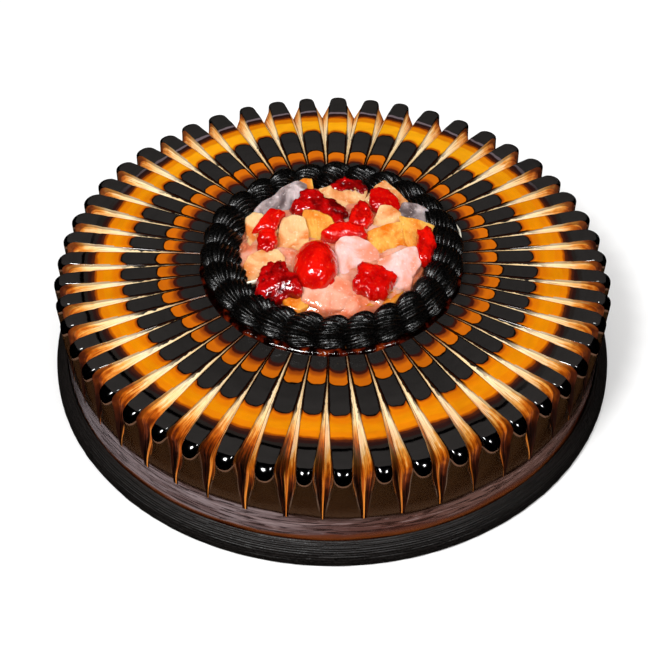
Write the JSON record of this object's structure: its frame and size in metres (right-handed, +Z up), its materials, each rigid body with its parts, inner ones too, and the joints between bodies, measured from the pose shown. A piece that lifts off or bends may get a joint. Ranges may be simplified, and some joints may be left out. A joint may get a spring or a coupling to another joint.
{
  "type": "glazed fruit gateau",
  "caption": "Round dark-glazed gateau with a combed, fluted top in black and orange bands, a ring of piped black shells and a heap of glazed fruit.",
  "frame": {"origin": "middle of the underside", "axes": "+Z up, -Y towards the side that the picture shows in front, +X to its right"},
  "size_m": [0.2314, 0.2314, 0.0698],
  "materials": {
    "dark_glaze": "glossy set mirror glaze, black on the ribs with orange bands, caramel and cream in the grooves and dark brown on the wall",
    "black_icing": "glossy black piped icing with fine ridges",
    "red_cherry": "wet translucent bright red glace cherry",
    "dark_cherry": "wet translucent crimson cherry",
    "orange_fruit": "wet orange fruit flesh",
    "pale_fruit": "wet pale yellow pear and peach",
    "pink_fruit": "wet translucent pink-white fruit",
    "smoky_fruit": "thin translucent grey-lilac fruit"
  },
  "bodies": {
    "root": {"cake_body": "dark_glaze", "cherry_back": "dark_cherry", "cherry_cluster": "dark_cherry", "cherry_dark": "dark_cherry", "cherry_half_back": "red_cherry", "cherry_half_left": "red_cherry", "cherry_lump_mid": "red_cherry", "cherry_right": "red_cherry", "cherry_scrap_left": "red_cherry", "cherry_strip": "red_cherry", "cherry_torn_front": "red_cherry", "cherry_whole": "red_cherry", "foot_border": "black_icing", "lychee_centre": "pink_fruit", "lychee_front": "pink_fruit", "lychee_right": "pink_fruit", "lychee_slice_back": "smoky_fruit", "lychee_smoky_right": "smoky_fruit", "orange_segment": "orange_fruit", "orange_wedge_right": "orange_fruit", "peach_back": "pale_fruit", "peach_curl_back": "orange_fruit", "peach_front_left": "orange_fruit", "peach_front_right": "orange_fruit", "peach_top_right": "pale_fruit", "peach_under_cluster": "orange_fruit", "pear_centre_left": "pale_fruit", "pear_left": "pale_fruit", "pear_low_left": "pale_fruit", "pear_wedge_back": "pale_fruit", "shell_01": "black_icing", "shell_02": "black_icing", "shell_03": "black_icing", "shell_04": "black_icing", "shell_05": "black_icing", "shell_06": "black_icing", "shell_07": "black_icing", "shell_08": "black_icing", "shell_09": "black_icing", "shell_10": "black_icing", "shell_11": "black_icing", "shell_12": "black_icing", "shell_13": "black_icing", "shell_14": "black_icing", "shell_15": "black_icing", "shell_16": "black_icing", "shell_17": "black_icing", "shell_18": "black_icing", "shell_19": "black_icing", "shell_20": "black_icing", "shell_21": "black_icing", "shell_22": "black_icing", "shell_23": "black_icing", "shell_24": "black_icing", "shell_25": "black_icing", "shell_26": "black_icing"}
  },
  "joints": []
}
